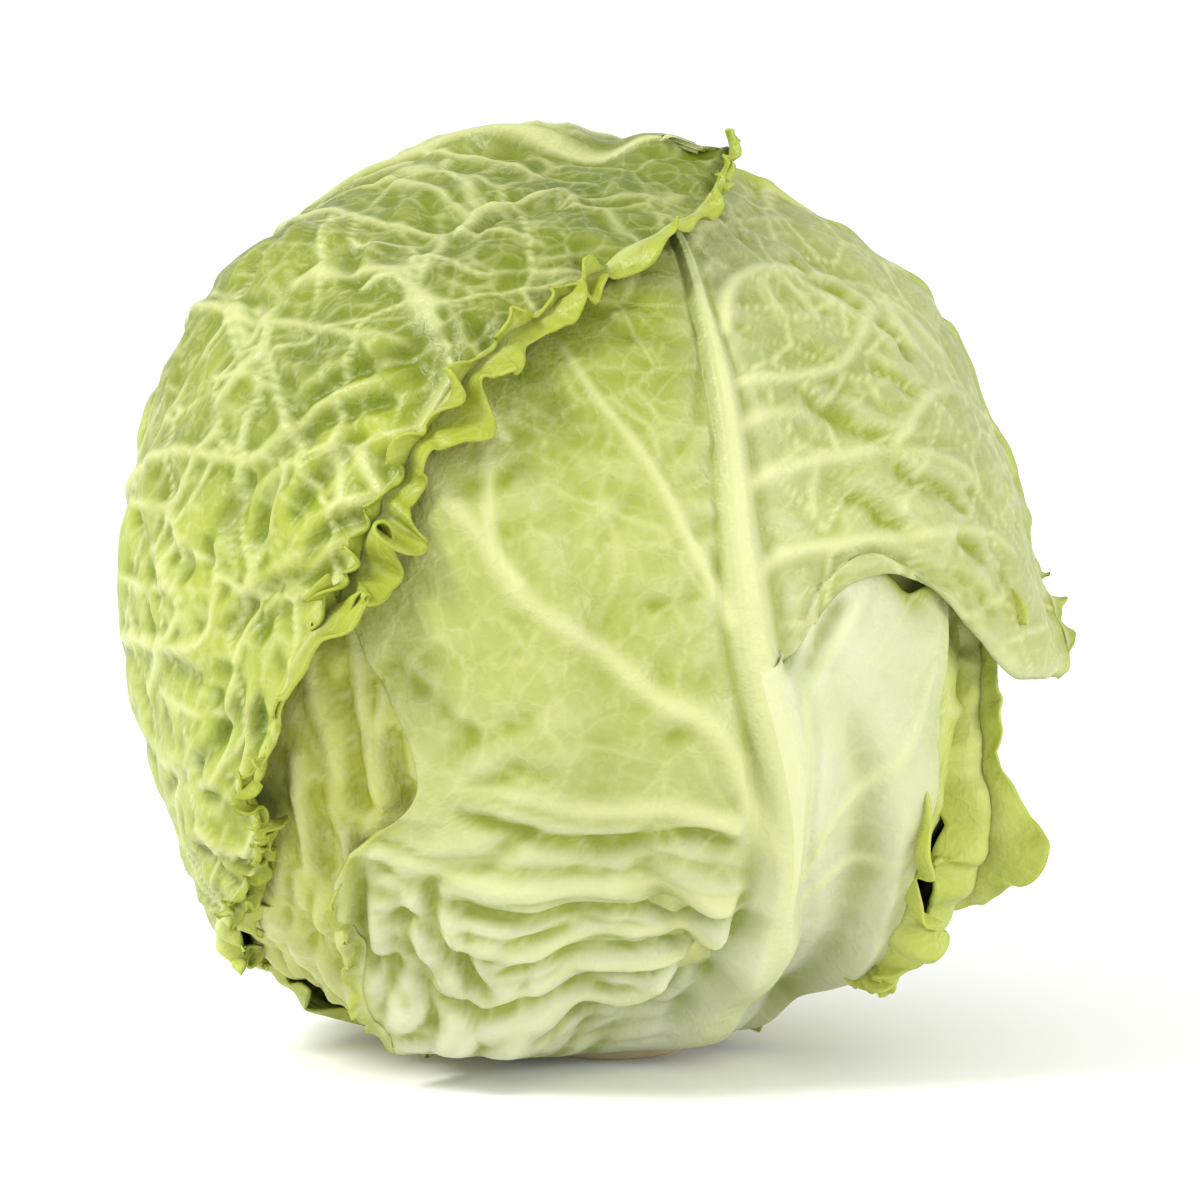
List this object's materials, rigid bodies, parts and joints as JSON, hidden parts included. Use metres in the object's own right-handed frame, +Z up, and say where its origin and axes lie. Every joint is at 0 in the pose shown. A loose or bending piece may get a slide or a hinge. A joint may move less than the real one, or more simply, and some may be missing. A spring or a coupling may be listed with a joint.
{
  "type": "cabbage head",
  "caption": "Whole green cabbage head resting on its cut stump: a closed inner head wrapped in loose outer leaves with thick midribs and ruffled edges.",
  "frame": {"origin": "middle of the stump's cut face, on the surface the head rests on", "axes": "+Z up through the head, -Y towards the front leaf as pictured, +X to the right"},
  "size_m": [0.1937, 0.1817, 0.186],
  "materials": {
    "cut_stem": "dry cut plant stem, pale and fibrous with a brownish rim",
    "inner_leaf": "pale yellow-green leaf with a soft waxy sheen",
    "outer_leaf": "light green leaf with paler ribs and veins and a soft waxy sheen"
  },
  "bodies": {
    "root": {"stump": "cut_stem", "inner_head": "inner_leaf", "lower_left_leaf": "outer_leaf", "right_leaf": "outer_leaf", "back_leaf": "outer_leaf", "front_leaf": "outer_leaf", "left_leaf": "outer_leaf"}
  },
  "joints": []
}
